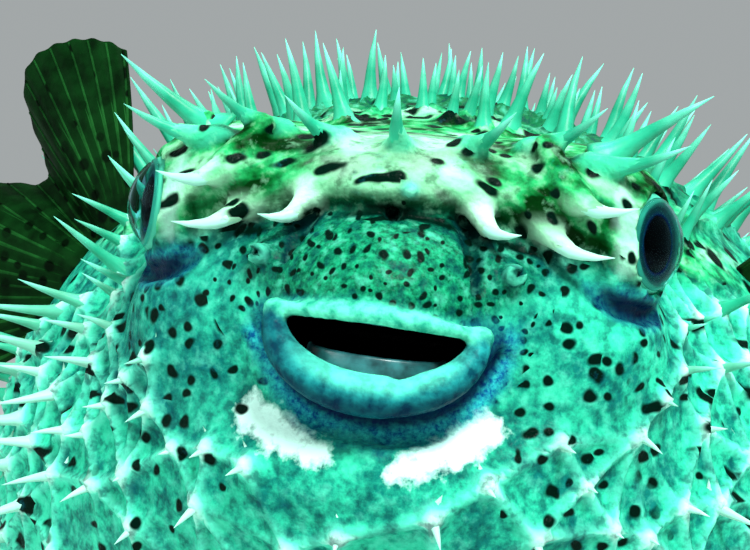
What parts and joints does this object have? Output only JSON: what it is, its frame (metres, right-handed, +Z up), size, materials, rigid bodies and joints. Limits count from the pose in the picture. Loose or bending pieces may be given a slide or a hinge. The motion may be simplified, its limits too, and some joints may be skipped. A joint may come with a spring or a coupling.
{
  "type": "porcupinefish display model",
  "caption": "Life-size puffed-up porcupinefish with erect spines, open mouth and fanned fins, held over a round base by two rods.",
  "frame": {"origin": "centre of the stand base's underside, on the floor", "axes": "+Z up, the face looks along -Y, the tail is towards +Y, and the animal's left side is +X"},
  "size_m": [0.3651, 0.4819, 0.375],
  "materials": {
    "skin": "moist mint-green skin with dark spots",
    "spine": "pale mint bony spines with a thin sheath",
    "lip": "smooth moist teal lips",
    "beak": "bare grey-green tooth plate",
    "fin": "thin olive fin membrane with rays and dark spots",
    "eye": "wet dark eye with a blue-green ring",
    "cornea": "clear wet dome over the eye",
    "stand_base": "black satin lacquered base",
    "stand_rod": "brushed steel rod"
  },
  "bodies": {
    "root": {"head": "skin", "trunk": "skin", "tail_stalk": "skin", "upper_lip": "lip", "lower_lip": "lip", "beak_upper": "beak", "beak_lower": "beak", "eye_left": "eye", "eye_right": "eye", "nostril_left": "skin", "nostril_right": "skin", "pectoral_fin_left": "fin", "pectoral_fin_right": "fin", "dorsal_fin": "fin", "anal_fin": "fin", "caudal_fin": "fin", "stand_base": "stand_base", "stand_rod_front": "stand_rod", "stand_rod_rear": "stand_rod"}
  },
  "joints": []
}
